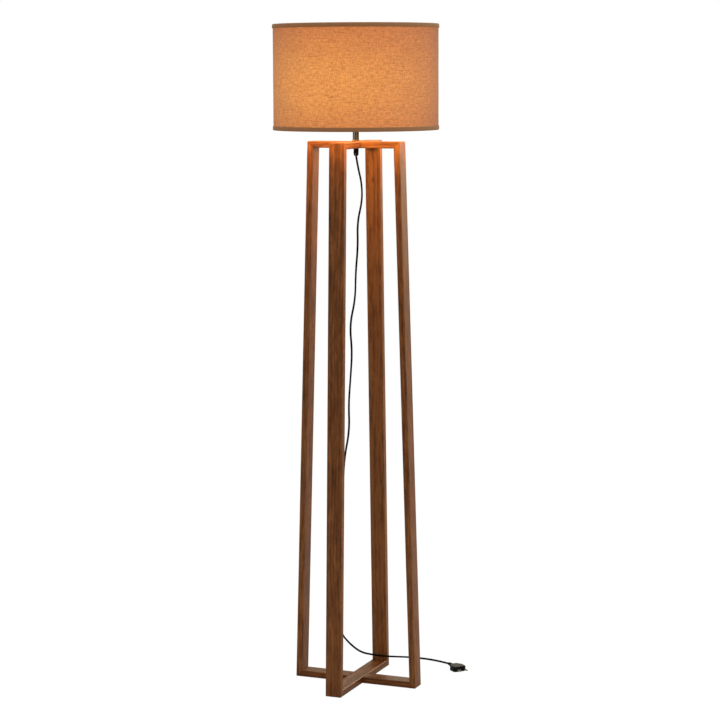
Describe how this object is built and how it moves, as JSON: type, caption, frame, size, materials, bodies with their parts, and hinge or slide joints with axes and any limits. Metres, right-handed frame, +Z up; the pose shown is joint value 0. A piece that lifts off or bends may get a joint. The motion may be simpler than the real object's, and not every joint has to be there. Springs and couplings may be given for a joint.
{
  "type": "floor lamp",
  "caption": "Floor lamp on a frame of crossed wooden plank loops, with a chrome stem, a linen drum shade, a screw-in bulb and a black flex ending in a plug.",
  "frame": {"origin": "centre of the footprint, on the floor", "axes": "+Z up; the two plank loops stand in the XZ and YZ planes"},
  "size_m": [0.4312, 0.4488, 1.6155],
  "materials": {
    "oiled_wood": "satin lacquer over a brown stain, straight grain",
    "beech": "raw",
    "chrome": "polished",
    "zinc_steel": "zinc plated",
    "brass": "plain",
    "black_plastic": "fine texture",
    "black_flex": "smooth soft PVC",
    "brown_core": "smooth PVC",
    "blue_core": "smooth PVC",
    "ivory_insulator": "glazed",
    "linen": "plain weave with slubs, lit from inside",
    "linen_tape": "folded plain weave tape",
    "shade_liner": "translucent sheet",
    "white_wire": "white enamel",
    "bulb_glass": "clear",
    "bulb_nickel": "nickel plated",
    "filament": "phosphor coated stick, glowing"
  },
  "bodies": {
    "stand": {"bottom_rail_x": "oiled_wood", "bottom_rail_y": "oiled_wood", "cord": "black_flex", "cord_grip": "black_plastic", "core_live": "brown_core", "core_neutral": "blue_core", "corner_biscuits": "beech", "grip_screw": "zinc_steel", "holder_body": "black_plastic", "holder_cap": "black_plastic", "holder_cap_screw": "zinc_steel", "holder_centre_contact": "brass", "holder_core": "ivory_insulator", "holder_screw_shell": "brass", "lap_screws": "zinc_steel", "leg_back": "oiled_wood", "leg_front": "oiled_wood", "leg_left": "oiled_wood", "leg_right": "oiled_wood", "lock_nut": "zinc_steel", "lock_washer": "zinc_steel", "plug_body": "black_plastic", "plug_boot": "black_plastic", "plug_pins": "bulb_nickel", "stem_collar": "chrome", "stem_flex": "black_flex", "stem_tube": "chrome", "terminal_screws": "brass", "threaded_tube": "zinc_steel", "top_rail_x": "oiled_wood", "top_rail_y": "oiled_wood"},
    "switch": {"switch_bar": "black_plastic", "switch_contact": "brass"},
    "shade_nut": {"shade_nut": "black_plastic"},
    "bulb": {"bulb_glass": "bulb_glass", "bulb_cap": "bulb_nickel", "bulb_insulator": "black_plastic", "bulb_tip": "bulb_nickel", "bulb_mount": "bulb_glass", "bulb_filaments": "filament"},
    "shade": {"shade_fabric": "linen", "shade_liner": "shade_liner", "shade_trim_top": "linen_tape", "shade_trim_bottom": "linen_tape", "shade_wire_top": "white_wire", "shade_wire_bottom": "white_wire", "shade_hub": "white_wire", "shade_arm_1": "white_wire", "shade_arm_2": "white_wire", "shade_arm_3": "white_wire"}
  },
  "joints": [
    {"name": "switch_push", "type": "slide", "parent": "stand", "child": "switch", "axis": [1, 0, 0], "range_m": [-0.004, 0]},
    {"name": "shade_turn", "type": "hinge", "parent": "stand", "child": "shade", "pos_m": [0, 0, 1.402], "axis": [0, 0, 1], "continuous": true},
    {"name": "shade_nut_turn", "type": "hinge", "parent": "stand", "child": "shade_nut", "pos_m": [0, 0, 1.407], "axis": [0, 0, 1], "continuous": true},
    {"name": "bulb_turn", "type": "hinge", "parent": "stand", "child": "bulb", "pos_m": [0, 0, 1.42], "axis": [0, 0, 1], "continuous": true}
  ]
}
